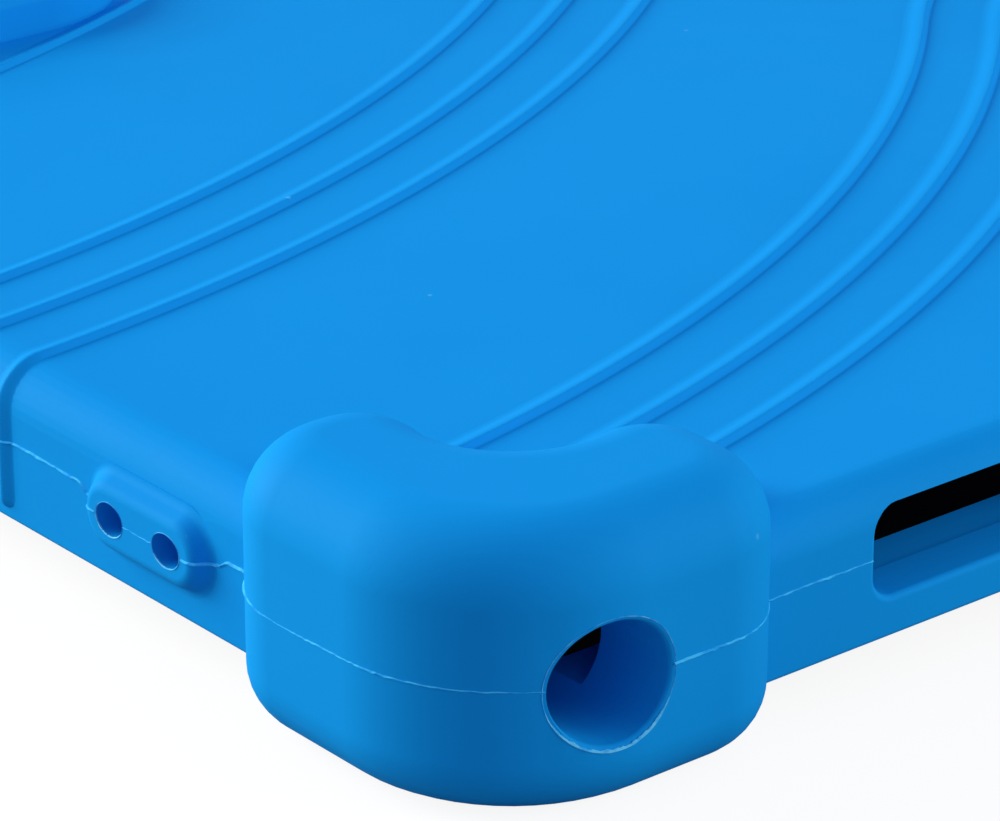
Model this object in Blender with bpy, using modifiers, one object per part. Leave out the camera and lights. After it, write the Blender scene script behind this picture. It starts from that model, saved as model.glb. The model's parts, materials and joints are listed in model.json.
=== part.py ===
"""Shockproof tablet case, moulded as one piece of silicone rubber.

The case lies on its four corner bumpers with the screen side down and the back up.
X runs along the case, Y across it and Z is up. The origin is at the centre of the
footprint, at the height of the bumpers' feet. All sizes are in metres.
"""
import math

import bmesh
import bpy
from mathutils import Matrix, Vector

# Pocket and walls
POCKET_LENGTH = 0.2555
POCKET_WIDTH = 0.1665
POCKET_DEPTH = 0.0075
POCKET_CORNER = 0.0075
SIDE_WALL = 0.0040
BACK_WALL = 0.00195
LIP_THICKNESS = 0.00285
LIP_REACH = 0.0040
LIP_FLARE = 0.0010
BACK_EDGE_ROUND = 0.0035
RIM_EDGE_ROUND = 0.0004

# Corner bumpers
BUMPER_PROUD = 0.0033
BUMPER_RISE = 0.0056
BUMPER_DROP = 0.0036
BUMPER_LEG_LONG_SIDE = 0.0276
BUMPER_LEG_SHORT_SIDE = 0.0264
BUMPER_REACH_LONG_SIDE = 0.0120
BUMPER_REACH_SHORT_SIDE = 0.0132
BUMPER_END_SPREAD = 0.0012
BUMPER_END_OUTER_ROUND = 0.0078
BUMPER_END_INNER_ROUND = 0.0065
BUMPER_HOLLOW_ROUND = 0.0053
BUMPER_TOP_ROUND = 0.0055
BUMPER_FOOT_ROUND = 0.0047

# Wave ribs on the back
RIB_RADIUS = 0.00075
RIB_SUNK = 0.0002
RIB_SPACING = 0.00693
RIBS_IN_GROUP = 3
RIB_GROUPS = 4
RIB_GROUP_PITCH = 0.0490
RIB_FIRST_START = 0.0136
WAVE_RADIUS = 0.1870
WAVE_RADIUS_STEP = 0.0080
WAVE_CENTRE_OUTSIDE = 0.0167
WAVE_RETURN_RADIUS = 0.0900
RIB_FOOT_HEIGHT = 0.0013
RIB_TUCK = 0.0016

# Lanyard island on the long wall
ISLAND_FROM_CORNER = 0.0376
ISLAND_HEIGHT_ABOVE_RIM = 0.00575
ISLAND_LENGTH = 0.0136
ISLAND_HEIGHT = 0.0054
ISLAND_PROUD = 0.00135
ISLAND_END_ROUND = 0.0026
ISLAND_EDGE_ROUND = 0.0007
LANYARD_HOLE_LENGTH = 0.0033
LANYARD_HOLE_HEIGHT = 0.0026
LANYARD_HOLE_PITCH = 0.0069

# Raised pad on the back
PAD_WIDTH = 0.0264
PAD_LENGTH = 0.0480
PAD_FROM_WALL = 0.0120
PAD_HEIGHT = 0.0040
PAD_END_ROUND = 0.0127
PAD_EDGE_ROUND = 0.0012

# Openings in the short walls
SLOT_FROM_CORNER = 0.0351
SLOT_LENGTH = 0.0300
SLOT_LEDGE = 0.00005
SLOT_CORNER = 0.0020
PORT_LENGTH = 0.0130
PORT_CORNER = 0.0030
JACK_HOLE_DIAMETER = 0.0092
JACK_FROM_WALL = 0.0088

# Camera hole and button covers near the other corner of the long wall
CAMERA_HOLE_DIAMETER = 0.0160
CAMERA_FROM_SHORT_WALL = 0.0290
CAMERA_FROM_LONG_WALL = 0.0270
VOLUME_COVER_LENGTH = 0.0240
POWER_COVER_LENGTH = 0.0110
COVER_HEIGHT = 0.0042
COVER_END_ROUND = 0.0020
COVER_PROUD = 0.0010
COVER_EDGE_ROUND = 0.0006
POWER_FROM_CORNER = 0.0420
COVER_GAP = 0.0090

# How far shapes run into or past one another so that they join or cut cleanly
OVERLAP = 0.0010

# Most of an edge that its two corner fillets may take, and most of a convex corner's radius
# that the rounding of its rim may take
FILLET_SHARE = 0.98
RIM_ROUND_SHARE = 0.92

# Facets
ARC_STEPS = 5
ROUND_STEPS = 4
HOLE_SIDES = 24
RIB_BACK_STEPS = 26
RIB_EDGE_STEPS = 4

# Sizes that follow
BODY_LENGTH = POCKET_LENGTH + 2 * SIDE_WALL
BODY_WIDTH = POCKET_WIDTH + 2 * SIDE_WALL
BODY_CORNER = POCKET_CORNER + SIDE_WALL
BODY_HEIGHT = LIP_THICKNESS + POCKET_DEPTH + BACK_WALL
RIM_Z = BUMPER_DROP
BACK_Z = RIM_Z + BODY_HEIGHT
POCKET_LOW_Z = RIM_Z + LIP_THICKNESS
POCKET_HIGH_Z = POCKET_LOW_Z + POCKET_DEPTH
POCKET_MID_Z = POCKET_LOW_Z + POCKET_DEPTH / 2
WALL_X = BODY_LENGTH / 2
WALL_Y = BODY_WIDTH / 2


def clear_objects():
    """Remove whatever the scene holds."""
    for item in list(bpy.data.objects):
        bpy.data.objects.remove(item, do_unlink=True)


def add_collection(name):
    """Make a collection under the scene's own."""
    collection = bpy.data.collections.new(name)
    bpy.context.scene.collection.children.link(collection)
    return collection


def half_angle_at(corners, index):
    """Half the angle between the two edges that meet at a corner, and their directions."""
    here = Vector(corners[index])
    back = (Vector(corners[index - 1]) - here).normalized()
    ahead = (Vector(corners[(index + 1) % len(corners)]) - here).normalized()
    return back.angle(ahead) / 2, back, ahead


def fitted_radii(corners, radii):
    """Corner radii, smaller where two neighbours wouldn't both fit on the edge between them."""
    tangents = [radius / math.tan(half_angle_at(corners, i)[0]) for i, radius in enumerate(radii)]
    fits = [1.0] * len(radii)
    for index in range(len(radii)):
        edge = (Vector(corners[index]) - Vector(corners[index - 1])).length
        fit = FILLET_SHARE * edge / (tangents[index] + tangents[index - 1])
        fits[index] = min(fits[index], fit)
        fits[index - 1] = min(fits[index - 1], fit)
    return [radius * fit for radius, fit in zip(radii, fits)]


def rounded_outline(corners, radii):
    """Points of a closed outline whose corners are rounded, each with its own radius."""
    points = []
    for index, corner in enumerate(corners):
        here = Vector(corner)
        half_angle, back, ahead = half_angle_at(corners, index)
        centre = here + (back + ahead).normalized() * (radii[index] / math.sin(half_angle))
        tangent = radii[index] / math.tan(half_angle)
        first = here + back * tangent - centre
        turn = first.angle_signed(here + ahead * tangent - centre)
        for step in range(ARC_STEPS + 1):
            spoke = first.copy()
            spoke.rotate(Matrix.Rotation(-turn * step / ARC_STEPS, 2))
            points.append(centre + spoke)
    return points


def rounded_rectangle(length, width, radius):
    """Outline of a rectangle about the origin with four equal round corners."""
    x, y = length / 2, width / 2
    corners = [(-x, -y), (x, -y), (x, y), (-x, y)]
    return rounded_outline(corners, fitted_radii(corners, [radius] * 4))


def mesh_object(name, mesh, collection):
    """Put a mesh into the scene under a name."""
    made = bpy.data.objects.new(name, mesh)
    collection.objects.link(made)
    return made


def curve_to_mesh(curve_object, collection):
    """Turn a curve object into a mesh object with its caps welded on."""
    bpy.context.view_layer.update()
    evaluated = curve_object.evaluated_get(bpy.context.evaluated_depsgraph_get())
    mesh = bpy.data.meshes.new_from_object(evaluated)
    made = mesh_object(curve_object.name + "_solid", mesh, collection)
    made.matrix_world = curve_object.matrix_world.copy()
    bpy.data.objects.remove(curve_object, do_unlink=True)
    work = bmesh.new()
    work.from_mesh(mesh)
    bmesh.ops.remove_doubles(work, verts=work.verts, dist=0.000001)
    bmesh.ops.recalc_face_normals(work, faces=work.faces)
    work.to_mesh(mesh)
    work.free()
    return made


def extruded(name, outline, low, high, collection):
    """Solid of an outline between two heights, with a single face on each end."""
    curve = bpy.data.curves.new(name, "CURVE")
    curve.dimensions = "2D"
    curve.fill_mode = "BOTH"
    curve.extrude = (high - low) / 2
    spline = curve.splines.new("POLY")
    spline.points.add(len(outline) - 1)
    for point, place in zip(spline.points, outline):
        point.co = (place[0], place[1], 0, 1)
    spline.use_cyclic_u = True
    curve_object = mesh_object(name, curve, collection)
    curve_object.location.z = (low + high) / 2
    made = curve_to_mesh(curve_object, collection)
    made.data.transform(made.matrix_world)
    made.matrix_world = Matrix.Identity(4)
    work = bmesh.new()
    work.from_mesh(made.data)
    flat = [edge for edge in work.edges if all(abs(face.normal.z) > 0.99 for face in edge.link_faces)]
    bmesh.ops.dissolve_edges(work, edges=flat, use_verts=False)
    work.to_mesh(made.data)
    work.free()
    made.name = name
    return made


def round_rims(item, low_round, high_round, steps):
    """Round the outline's edges of an extruded solid, low and high ones by their own radii."""
    lowest = min(vertex.co.z for vertex in item.data.vertices)
    highest = max(vertex.co.z for vertex in item.data.vertices)
    widest = max(low_round, high_round)
    weights = item.data.attributes.new("bevel_weight_edge", "FLOAT", "EDGE")
    for edge in item.data.edges:
        heights = [item.data.vertices[index].co.z for index in edge.vertices]
        if max(heights) - lowest < 0.000001:
            weights.data[edge.index].value = low_round / widest
        if highest - min(heights) < 0.000001:
            weights.data[edge.index].value = high_round / widest
    bevel = item.modifiers.new("rounded_rims", "BEVEL")
    bevel.limit_method = "WEIGHT"
    bevel.width = widest
    bevel.segments = steps
    bevel.use_clamp_overlap = False
    return bevel


def bored(name, diameter, length, centre, axis, collection, across=1.0):
    """Round cutter of a given length along an axis, wider across that axis where the hole is oval."""
    mesh = bpy.data.meshes.new(name)
    work = bmesh.new()
    bmesh.ops.create_cone(work, cap_ends=True, segments=HOLE_SIDES, radius1=diameter / 2,
                          radius2=diameter / 2, depth=length)
    bmesh.ops.scale(work, vec=(across, 1, 1), verts=work.verts)
    turn = Vector((0, 0, 1)).rotation_difference(Vector(axis)).to_matrix().to_4x4()
    bmesh.ops.transform(work, matrix=Matrix.Translation(centre) @ turn, verts=work.verts)
    work.to_mesh(mesh)
    work.free()
    return mesh_object(name, mesh, collection)


def stood_on_wall(item, wall_normal, place):
    """Turn a solid that was extruded upwards so that it stands out of a wall."""
    sideways = Vector((0, 0, 1)).cross(Vector(wall_normal))
    turn = Matrix((sideways, Vector((0, 0, 1)), Vector(wall_normal))).transposed().to_4x4()
    item.data.transform(Matrix.Translation(place) @ turn)
    return item


def make_body(collection):
    """Shallow tray of the walls and the back, still solid."""
    outline = rounded_rectangle(BODY_LENGTH, BODY_WIDTH, BODY_CORNER)
    body = extruded("tablet_case", outline, RIM_Z, BACK_Z, collection)
    round_rims(body, RIM_EDGE_ROUND, BACK_EDGE_ROUND, ROUND_STEPS)
    return body


def make_bumpers(collection):
    """Boomerang-shaped bumper round one corner, mirrored to the other three."""
    outer_x = WALL_X + BUMPER_PROUD
    outer_y = -WALL_Y - BUMPER_PROUD
    end_x = WALL_X - BUMPER_LEG_LONG_SIDE
    end_y = -WALL_Y + BUMPER_LEG_SHORT_SIDE
    inner_x = WALL_X - BUMPER_REACH_SHORT_SIDE
    inner_y = -WALL_Y + BUMPER_REACH_LONG_SIDE
    spread = BUMPER_END_SPREAD
    corners = [
        (outer_x, outer_y),
        (outer_x, end_y),
        (inner_x - spread, end_y),
        (inner_x + spread, inner_y - spread),
        (end_x, inner_y + spread),
        (end_x, outer_y),
    ]
    radii = fitted_radii(corners, [
        BODY_CORNER + BUMPER_PROUD,
        BUMPER_END_OUTER_ROUND,
        BUMPER_END_INNER_ROUND,
        BUMPER_HOLLOW_ROUND,
        BUMPER_END_INNER_ROUND,
        BUMPER_END_OUTER_ROUND,
    ])
    widest_round = RIM_ROUND_SHARE * min(radii[:3] + radii[4:])
    foot_round = min(BUMPER_FOOT_ROUND, widest_round)
    top_round = min(BUMPER_TOP_ROUND, widest_round)
    outline = rounded_outline(corners, radii)
    bumpers = extruded("corner_bumpers", outline, 0, BACK_Z + BUMPER_RISE, collection)
    round_rims(bumpers, foot_round, top_round, ROUND_STEPS)
    mirror = bumpers.modifiers.new("other_corners", "MIRROR")
    mirror.use_axis = (True, True, False)
    mirror.use_mirror_merge = False
    return bumpers


def wave_x(y, group, rib):
    """X of one rib's centre line at a given Y: an arc, then a tighter arc that turns it straight."""
    start = WALL_X - RIB_FIRST_START - group * RIB_GROUP_PITCH
    radius = WAVE_RADIUS - group * WAVE_RADIUS_STEP
    centre = Vector((start - radius, -WALL_Y - WAVE_CENTRE_OUTSIDE))
    lean = math.asin((WALL_Y - centre.y) / (radius + WAVE_RETURN_RADIUS))
    far_centre_x = centre.x + (radius + WAVE_RETURN_RADIUS) * math.cos(lean)
    offset = (rib - (RIBS_IN_GROUP - 1) / 2) * RIB_SPACING
    turning_y = centre.y + (radius + offset) * math.sin(lean)
    if y < turning_y:
        return centre.x + math.sqrt((radius + offset) ** 2 - (y - centre.y) ** 2)
    return far_centre_x - math.sqrt((WAVE_RETURN_RADIUS - offset) ** 2 - (y - WALL_Y) ** 2)


def rib_section():
    """Y and Z of a rib from the rim of one long wall, over the back, to the rim of the other."""
    wall = WALL_Y - RIB_SUNK
    edge = WALL_Y - BACK_EDGE_ROUND
    reach = BACK_EDGE_ROUND - RIB_SUNK
    half = [(wall - RIB_TUCK, RIM_Z + RIB_RADIUS + RIB_SUNK), (wall, RIM_Z + RIB_FOOT_HEIGHT)]
    for step in range(RIB_EDGE_STEPS + 1):
        angle = math.pi / 2 * step / RIB_EDGE_STEPS
        half.append((edge + reach * math.cos(angle), BACK_Z - BACK_EDGE_ROUND + reach * math.sin(angle)))
    section = [(-y, z) for y, z in half]
    for step in range(1, RIB_BACK_STEPS):
        section.append((-edge + 2 * edge * step / RIB_BACK_STEPS, BACK_Z - RIB_SUNK))
    return section + half[::-1]


def make_rib(group, rib, collection):
    """One round bead laid along its wave, half sunk into the surface."""
    places = [(wave_x(y, group, rib), y, z) for y, z in rib_section()]
    curve = bpy.data.curves.new("wave_rib", "CURVE")
    curve.dimensions = "3D"
    curve.bevel_depth = RIB_RADIUS
    curve.bevel_resolution = 2
    curve.use_fill_caps = True
    spline = curve.splines.new("POLY")
    spline.points.add(len(places) - 1)
    for point, place in zip(spline.points, places):
        point.co = (*place, 1)
    return curve_to_mesh(mesh_object("wave_rib", curve, collection), collection)


def make_island(collection):
    """Small raised island on the long wall that the lanyard holes go through."""
    outline = rounded_rectangle(ISLAND_LENGTH, ISLAND_HEIGHT, ISLAND_END_ROUND)
    island = extruded("lanyard_island", outline, -OVERLAP, ISLAND_PROUD, collection)
    round_rims(island, 0, ISLAND_EDGE_ROUND, 2)
    place = (WALL_X - ISLAND_FROM_CORNER, -WALL_Y, RIM_Z + ISLAND_HEIGHT_ABOVE_RIM)
    return stood_on_wall(island, (0, -1, 0), place)


def make_pad(collection):
    """Raised pad on the middle of the back, near one long wall."""
    pad = extruded("raised_pad", rounded_rectangle(PAD_WIDTH, PAD_LENGTH, PAD_END_ROUND),
                   BACK_Z - OVERLAP, BACK_Z + PAD_HEIGHT, collection)
    pad.data.transform(Matrix.Translation((0, -WALL_Y + PAD_FROM_WALL + PAD_LENGTH / 2, 0)))
    round_rims(pad, 0, PAD_EDGE_ROUND, 3)
    return pad


def make_button_cover(name, length, centre_x, collection):
    """Raised cover over a button, on the long wall."""
    outline = rounded_rectangle(length, COVER_HEIGHT, COVER_END_ROUND)
    cover = extruded(name, outline, -OVERLAP, COVER_PROUD, collection)
    round_rims(cover, 0, COVER_EDGE_ROUND, 2)
    return stood_on_wall(cover, (0, -1, 0), (centre_x, -WALL_Y, POCKET_MID_Z))


def cut_pocket(collection):
    """Room for the slab that the case holds, open at the screen side through the lip's window."""
    outline = rounded_rectangle(POCKET_LENGTH, POCKET_WIDTH, POCKET_CORNER)
    return extruded("pocket", outline, POCKET_LOW_Z, POCKET_HIGH_Z, collection)


def cut_window(collection):
    """Window in the lip, a little wider at the rim than at the pocket."""
    window_corner = POCKET_CORNER - LIP_REACH
    mesh = bpy.data.meshes.new("screen_window")
    work = bmesh.new()
    levels = [(0, POCKET_LOW_Z + OVERLAP), (0, POCKET_LOW_Z), (LIP_FLARE, RIM_Z), (LIP_FLARE, -OVERLAP)]
    loops = []
    for flare, z in levels:
        trim = 2 * (LIP_REACH - flare)
        outline = rounded_rectangle(POCKET_LENGTH - trim, POCKET_WIDTH - trim, window_corner + flare)
        ring = [work.verts.new((point.x, point.y, z)) for point in outline]
        loops.append([work.edges.new((ring[i - 1], ring[i])) for i in range(len(ring))])
    for upper, lower in zip(loops, loops[1:]):
        bmesh.ops.bridge_loops(work, edges=upper + lower)
    bmesh.ops.contextual_create(work, geom=loops[0])
    bmesh.ops.contextual_create(work, geom=loops[-1])
    bmesh.ops.recalc_face_normals(work, faces=work.faces)
    work.to_mesh(mesh)
    work.free()
    return mesh_object("screen_window", mesh, collection)


def cut_wall_slot(name, length, corner, side, centre_y, collection):
    """Slot through a short wall, as high as the pocket."""
    outline = rounded_rectangle(length, POCKET_DEPTH - 2 * SLOT_LEDGE, corner)
    slot = extruded(name, outline, -SIDE_WALL - OVERLAP, OVERLAP, collection)
    return stood_on_wall(slot, (side, 0, 0), (side * WALL_X, centre_y, POCKET_MID_Z))


def make_cutters(collection):
    """Everything that is cut out of the moulding."""
    cut_pocket(collection)
    cut_window(collection)
    slot_y = WALL_Y - SLOT_FROM_CORNER - SLOT_LENGTH / 2
    for side in (-1, 1):
        cut_wall_slot("speaker_slot", SLOT_LENGTH, SLOT_CORNER, side, -slot_y, collection)
        cut_wall_slot("speaker_slot", SLOT_LENGTH, SLOT_CORNER, side, slot_y, collection)
    cut_wall_slot("charge_port", PORT_LENGTH, PORT_CORNER, 1, 0, collection)
    jack_outer_x = WALL_X + BUMPER_PROUD + OVERLAP
    jack_inner_x = WALL_X - SIDE_WALL - POCKET_CORNER / 2
    jack_place = ((jack_outer_x + jack_inner_x) / 2, -WALL_Y + JACK_FROM_WALL, POCKET_MID_Z)
    bored("jack_hole", JACK_HOLE_DIAMETER, jack_outer_x - jack_inner_x, jack_place, (1, 0, 0), collection)
    bored("camera_hole", CAMERA_HOLE_DIAMETER, BACK_WALL + 2 * OVERLAP,
          (-WALL_X + CAMERA_FROM_SHORT_WALL, -WALL_Y + CAMERA_FROM_LONG_WALL, BACK_Z - BACK_WALL / 2),
          (0, 0, 1), collection)
    lanyard_length = SIDE_WALL + ISLAND_PROUD + 2 * OVERLAP
    for side in (-1, 1):
        lanyard_x = WALL_X - ISLAND_FROM_CORNER + side * LANYARD_HOLE_PITCH / 2
        lanyard_y = -WALL_Y + (SIDE_WALL - ISLAND_PROUD) / 2
        bored("lanyard_hole", LANYARD_HOLE_HEIGHT, lanyard_length,
              (lanyard_x, lanyard_y, RIM_Z + ISLAND_HEIGHT_ABOVE_RIM), (0, 1, 0), collection,
              across=LANYARD_HOLE_LENGTH / LANYARD_HOLE_HEIGHT)


def make_raised_forms(collection):
    """Everything that stands out of the tray's walls and back."""
    make_bumpers(collection)
    for group in range(RIB_GROUPS):
        for rib in range(RIBS_IN_GROUP):
            make_rib(group, rib, collection)
    make_island(collection)
    make_pad(collection)
    power_x = -WALL_X + POWER_FROM_CORNER
    volume_x = power_x + (POWER_COVER_LENGTH + VOLUME_COVER_LENGTH) / 2 + COVER_GAP
    make_button_cover("power_cover", POWER_COVER_LENGTH, power_x, collection)
    make_button_cover("volume_cover", VOLUME_COVER_LENGTH, volume_x, collection)


def combine(body, operation, collection):
    """Join the body with a collection's shapes, or cut them out of it."""
    boolean = body.modifiers.new(collection.name, "BOOLEAN")
    boolean.operation = operation
    boolean.operand_type = "COLLECTION"
    boolean.collection = collection
    boolean.solver = "EXACT"
    for item in collection.objects:
        item.hide_render = True
        item.display_type = "WIRE"


def silicone():
    """Matte blue silicone rubber."""
    material = bpy.data.materials.new("blue_silicone")
    material.use_nodes = True
    shader = material.node_tree.nodes["Principled BSDF"]
    shader.inputs["Base Color"].default_value = (0.007, 0.292, 0.791, 1)
    shader.inputs["Roughness"].default_value = 0.5
    shader.inputs["Metallic"].default_value = 0
    return material


clear_objects()
case_collection = add_collection("tablet_case")
raised_collection = add_collection("raised_forms")
cutter_collection = add_collection("cutters")

case = make_body(case_collection)
make_raised_forms(raised_collection)
make_cutters(cutter_collection)
combine(case, "UNION", raised_collection)
combine(case, "DIFFERENCE", cutter_collection)
case.data.materials.clear()
case.data.materials.append(silicone())
case.data.shade_smooth()
case.data.set_sharp_from_angle(angle=math.radians(35))
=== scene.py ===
"""Shockproof tablet case of blue silicone rubber, lying on its corner bumpers with the back up."""

import json
import math

import bmesh
import bpy
from mathutils import Matrix, Vector, noise
from mathutils.bvhtree import BVHTree

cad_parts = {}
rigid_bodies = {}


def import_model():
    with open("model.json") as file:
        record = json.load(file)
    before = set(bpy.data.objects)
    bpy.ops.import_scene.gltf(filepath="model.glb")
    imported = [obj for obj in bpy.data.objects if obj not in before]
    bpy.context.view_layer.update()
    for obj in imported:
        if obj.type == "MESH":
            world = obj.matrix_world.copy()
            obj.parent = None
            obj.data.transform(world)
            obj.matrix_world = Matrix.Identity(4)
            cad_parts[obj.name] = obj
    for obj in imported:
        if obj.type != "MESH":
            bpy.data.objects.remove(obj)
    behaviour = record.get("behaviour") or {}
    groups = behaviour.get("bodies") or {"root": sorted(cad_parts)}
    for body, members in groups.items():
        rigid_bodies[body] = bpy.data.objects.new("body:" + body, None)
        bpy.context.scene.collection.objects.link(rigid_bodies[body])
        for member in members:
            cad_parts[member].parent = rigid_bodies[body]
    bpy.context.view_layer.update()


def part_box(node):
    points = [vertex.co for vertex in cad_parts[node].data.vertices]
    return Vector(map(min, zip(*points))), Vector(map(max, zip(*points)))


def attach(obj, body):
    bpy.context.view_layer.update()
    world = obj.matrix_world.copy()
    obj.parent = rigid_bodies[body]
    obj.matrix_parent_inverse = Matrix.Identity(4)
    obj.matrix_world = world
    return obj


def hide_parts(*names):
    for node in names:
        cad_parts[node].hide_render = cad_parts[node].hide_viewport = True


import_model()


# Blue silicone. The whole case is one shot of soft silicone rubber with pigment mixed in, cured in a
# blasted steel mould, which leaves a matte skin with a fine grain that picks up a little dust.
SILICONE_BLUE = (0.0052, 0.2990, 0.8200, 1.0)
SILICONE_DEEPER = (0.0040, 0.2760, 0.7850, 1.0)
SILICONE_DUST = (0.0900, 0.4600, 0.9300, 1.0)
SKIN_SPECULAR = 0.015
SKIN_ROUGHNESS = (0.46, 0.62)
SHEEN_PATCH_SCALE = 140.0
GRAIN_SCALE = 3200.0
GRAIN_STRENGTH = 0.10
GRAIN_DEPTH = 0.00004
BLUE_CLOUD_SCALE = 22.0
BLUE_SPECK_SCALE = 260.0


def add_node(tree, kind, **values):
    """Add a shader node and set its inputs by name."""
    node = tree.nodes.new(kind)
    for name, value in values.items():
        node.inputs[name.replace("_", " ")].default_value = value
    return node


def colour_ramp(tree, source, stops):
    """Colour ramp fed by a socket, from a list of (position, colour)."""
    ramp = tree.nodes.new("ShaderNodeValToRGB")
    while len(ramp.color_ramp.elements) < len(stops):
        ramp.color_ramp.elements.new(0.5)
    for element, (position, colour) in zip(ramp.color_ramp.elements, stops):
        element.position = position
        element.color = colour
    tree.links.new(source, ramp.inputs["Fac"])
    return ramp.outputs["Color"]


def silicone_material(name, light, deep, dust, cloud_scale, speck_scale):
    """Matte rubber: clouds of pigment, uneven sheen, a blasted grain and scattered dust."""
    material = bpy.data.materials.new(name)
    material.use_nodes = True
    tree = material.node_tree
    shader = tree.nodes["Principled BSDF"]
    shader.inputs["Specular IOR Level"].default_value = SKIN_SPECULAR
    place = tree.nodes.new("ShaderNodeTexCoord").outputs["Object"]

    clouds = add_node(tree, "ShaderNodeTexNoise", Scale=cloud_scale, Detail=3.0, Roughness=0.5)
    tree.links.new(place, clouds.inputs["Vector"])
    pigment = colour_ramp(tree, clouds.outputs["Fac"], [(0.30, deep), (0.62, light)])

    specks = add_node(tree, "ShaderNodeTexVoronoi", Scale=speck_scale)
    tree.links.new(place, specks.inputs["Vector"])
    black, white = (0, 0, 0, 1), (1, 1, 1, 1)
    small = colour_ramp(tree, specks.outputs["Distance"], [(0.03, white), (0.07, black)])
    chosen = colour_ramp(tree, specks.outputs["Color"], [(0.80, black), (0.88, white)])
    dusty = tree.nodes.new("ShaderNodeMath")
    dusty.operation = "MULTIPLY"
    tree.links.new(small, dusty.inputs[0])
    tree.links.new(chosen, dusty.inputs[1])
    skin = tree.nodes.new("ShaderNodeMix")
    skin.data_type = "RGBA"
    tree.links.new(dusty.outputs[0], skin.inputs["Factor"])
    tree.links.new(pigment, skin.inputs["A"])
    skin.inputs["B"].default_value = dust
    tree.links.new(skin.outputs["Result"], shader.inputs["Base Color"])

    patches = add_node(tree, "ShaderNodeTexNoise", Scale=SHEEN_PATCH_SCALE, Detail=4.0, Roughness=0.6)
    tree.links.new(place, patches.inputs["Vector"])
    sheen = tree.nodes.new("ShaderNodeMapRange")
    sheen.inputs["To Min"].default_value, sheen.inputs["To Max"].default_value = SKIN_ROUGHNESS
    tree.links.new(patches.outputs["Fac"], sheen.inputs["Value"])
    tree.links.new(sheen.outputs["Result"], shader.inputs["Roughness"])

    grain = add_node(tree, "ShaderNodeTexNoise", Scale=GRAIN_SCALE, Detail=2.0, Roughness=0.6)
    tree.links.new(place, grain.inputs["Vector"])
    bump = add_node(tree, "ShaderNodeBump", Strength=GRAIN_STRENGTH, Distance=GRAIN_DEPTH)
    tree.links.new(grain.outputs["Fac"], bump.inputs["Height"])
    tree.links.new(bump.outputs["Normal"], shader.inputs["Normal"])
    return material


blue_silicone = silicone_material("blue_silicone", SILICONE_BLUE, SILICONE_DEEPER, SILICONE_DUST,
                                  BLUE_CLOUD_SCALE, BLUE_SPECK_SCALE)


# Tray. A flat back with four low walls, with a soft edge all round the back and a small round at the
# rim. It is a solid block of rubber here, and the pocket is taken out of it further down.
BUMPER_PROUD = 0.0033
BUMPER_DROP = 0.0036
BUMPER_RISE = 0.0056
case_low, case_high = (Vector(corner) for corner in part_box("tablet_case"))
WALL_X = case_high.x - BUMPER_PROUD
WALL_Y = case_high.y - BUMPER_PROUD
RIM_Z = case_low.z + BUMPER_DROP
BACK_Z = case_high.z - BUMPER_RISE
BODY_CORNER = 0.0115
BACK_EDGE_ROUND = 0.0035
RIM_EDGE_ROUND = 0.0004
BODY_ARC_STEPS = 14
BACK_EDGE_STEPS = 8
RIM_EDGE_STEPS = 4
LEVEL = 0.0000005

raised_forms = bpy.data.collections.new("raised_forms")
openings = bpy.data.collections.new("openings")


def rounded_face(work, corners, z=0.0, arc_steps=12):
    """Flat face with a round at each corner, from (x, y, radius) in order anticlockwise."""
    arcs = []
    for index, (x, y, radius) in enumerate(corners):
        here = Vector((x, y, z))
        back = (Vector((*corners[index - 1][:2], z)) - here).normalized()
        ahead = (Vector((*corners[(index + 1) % len(corners)][:2], z)) - here).normalized()
        half_angle = back.angle(ahead) / 2
        centre = here + (back + ahead).normalized() * radius / math.sin(half_angle)
        start = work.verts.new(here + back * radius / math.tan(half_angle))
        turn = math.copysign(math.pi - 2 * half_angle, ahead.cross(back).z)
        spun = bmesh.ops.spin(work, geom=[start], cent=centre, axis=(0, 0, 1), angle=turn, steps=arc_steps)
        end = next(item for item in spun["geom_last"] if isinstance(item, bmesh.types.BMVert))
        arcs.append((start, end))
    for (_, end), (start, _) in zip(arcs, arcs[1:] + arcs[:1]):
        work.edges.new((end, start))
    loose = [edge for edge in work.edges if not edge.link_faces]
    return bmesh.ops.contextual_create(work, geom=loose)["faces"][0]


def rectangle_corners(length, width, radius, centre=(0.0, 0.0)):
    """The four corners of a rectangle, anticlockwise, each with the same radius."""
    x, y = length / 2, width / 2
    signs = ((-1, -1), (1, -1), (1, 1), (-1, 1))
    return [(centre[0] + side_x * x, centre[1] + side_y * y, radius) for side_x, side_y in signs]


def extrude_up(work, face, height):
    """Raise a face into a solid and return the face on its top."""
    grown = bmesh.ops.extrude_face_region(work, geom=[face], use_keep_orig=True)
    top = next(item for item in grown["geom"] if isinstance(item, bmesh.types.BMFace))
    bmesh.ops.translate(work, verts=top.verts[:], vec=(0, 0, height))
    bmesh.ops.recalc_face_normals(work, faces=work.faces[:])
    return top


def edges_at(work, z):
    """Edges that lie level at a height."""
    return [edge for edge in work.edges if all(abs(vert.co.z - z) < LEVEL for vert in edge.verts)]


def round_edges(work, edges, radius, segments):
    """Roll a radius over edges."""
    bmesh.ops.bevel(work, geom=edges, offset=radius, offset_type="OFFSET", segments=segments,
                    profile=0.5, affect="EDGES", clamp_overlap=False, material=-1)


def finish_mesh(work, name, collection=None):
    """Close a bmesh into a named object at the origin."""
    bmesh.ops.recalc_face_normals(work, faces=work.faces[:])
    mesh = bpy.data.meshes.new(name)
    work.to_mesh(mesh)
    work.free()
    made = bpy.data.objects.new(name, mesh)
    (collection or bpy.context.scene.collection).objects.link(made)
    return made


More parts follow.
